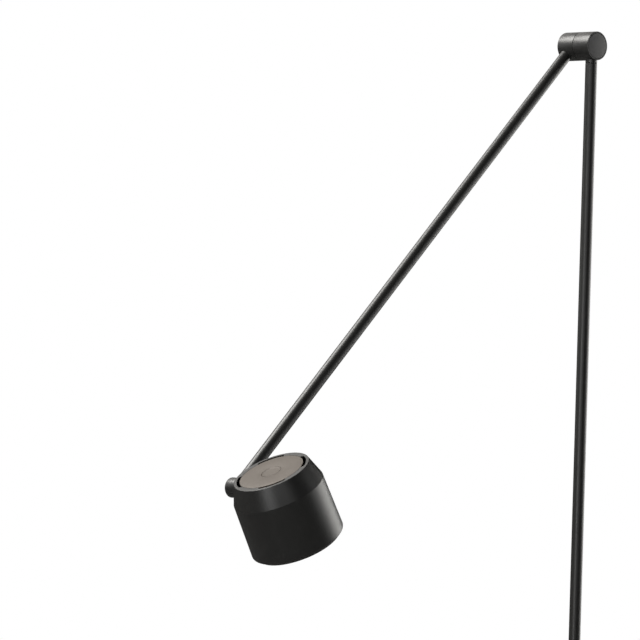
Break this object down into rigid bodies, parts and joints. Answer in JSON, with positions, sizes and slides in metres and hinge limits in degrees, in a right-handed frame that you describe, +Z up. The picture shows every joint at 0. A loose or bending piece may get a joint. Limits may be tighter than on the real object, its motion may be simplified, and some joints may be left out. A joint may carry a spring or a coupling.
{
  "type": "adjustable arm floor lamp",
  "caption": "Floor lamp: round base, slim post, swivelling elbow, long arm, and a tilting drum LED head with a push dimmer.",
  "frame": {"origin": "centre of the flat underside of the base's pad, on the post's axis", "axes": "+Z up along the post; the arm points towards -X and down at rest; the elbow and head pivot axes lie along +Y, away from the head's side"},
  "size_m": [0.6078, 0.244, 1.1646],
  "materials": {
    "black_steel": "fine satin-matt black powder coat on steel",
    "black_aluminium": "fine satin-matt black powder coat on aluminium",
    "dark_bronze": "satin warm dark bronze lacquer on aluminium",
    "bare_steel": "zinc-plated steel fasteners and axles",
    "bare_aluminium": "bare die-cast aluminium",
    "nylon": "black nylon bush and friction discs",
    "black_rubber": "matt black rubber",
    "black_plastic": "matt black moulded plastic",
    "circuit_board": "green solder mask",
    "phosphor": "yellow phosphor gel over the LED chips",
    "bright_metal": "bright aluminised surface",
    "lens_glass": "satin glass lens, glowing warm white"
  },
  "bodies": {
    "base": {"base_pad": "black_rubber", "base_plate": "black_steel", "post_socket": "black_steel", "socket_washer": "bare_steel", "socket_nut": "bare_steel", "socket_grub_screw": "bare_steel", "lead_gland": "black_rubber", "base_lead": "black_rubber", "post_tube": "black_steel", "swivel_bush": "nylon", "post_lead": "black_rubber"},
    "elbow": {"elbow_post_half": "black_aluminium", "elbow_post_cap": "black_aluminium", "swivel_spigot": "bare_steel", "swivel_circlip": "bare_steel", "elbow_axle": "bare_steel", "elbow_axle_nut": "bare_steel", "elbow_friction_disc": "nylon", "elbow_spring_washer": "bare_steel", "elbow_lock_nut": "bare_steel"},
    "arm": {"elbow_arm_half": "black_aluminium", "elbow_arm_cap": "black_aluminium", "arm_tube": "black_steel", "arm_lead": "black_rubber", "pivot_barrel": "black_aluminium", "pivot_cap": "black_aluminium"},
    "head": {"shade": "black_aluminium", "top_cover": "dark_bronze", "pivot_boss": "black_aluminium", "pivot_saddle": "bare_aluminium", "pivot_axle": "bare_steel", "pivot_inner_nut": "bare_steel", "pivot_friction_washer": "nylon", "pivot_spring_washer": "bare_steel", "pivot_lock_nut": "bare_steel", "button_spring": "bare_steel", "dimmer_switch": "black_plastic", "board_carrier": "black_plastic", "control_board": "circuit_board", "lead_connector": "black_plastic", "chassis_ring": "bare_aluminium", "heat_sink": "bare_aluminium", "chassis_screw_1": "bare_steel", "chassis_screw_2": "bare_steel", "chassis_screw_3": "bare_steel", "led_board": "circuit_board", "led_emitter": "phosphor", "reflector": "bright_metal", "lens": "lens_glass", "lens_ring": "bright_metal", "bezel": "black_plastic", "baffle": "black_plastic", "bezel_clip_1": "bare_steel", "bezel_clip_2": "bare_steel", "bezel_clip_3": "bare_steel"},
    "button": {"dimmer_button": "dark_bronze"}
  },
  "joints": [
    {"name": "arm_swivel", "type": "hinge", "parent": "base", "child": "elbow", "pos_m": [0, 0, 1.13], "axis": [0, 0, 1], "range_deg": [-170, 170]},
    {"name": "elbow_hinge", "type": "hinge", "parent": "elbow", "child": "arm", "pos_m": [0, 0.0136, 1.15], "axis": [0, 1, 0], "range_deg": [-34, 120]},
    {"name": "head_tilt", "type": "hinge", "parent": "arm", "child": "head", "pos_m": [-0.44279, 0.0196, 0.69625], "axis": [0, 1, 0], "range_deg": [-90, 90]},
    {"name": "dimmer_press", "type": "slide", "parent": "head", "child": "button", "axis": [0.4909, 0, -0.8712], "range_m": [0, 0.001], "stiffness_N_per_m": 1200, "springref_m": -0.0004, "deforming": ["button_spring"]}
  ]
}
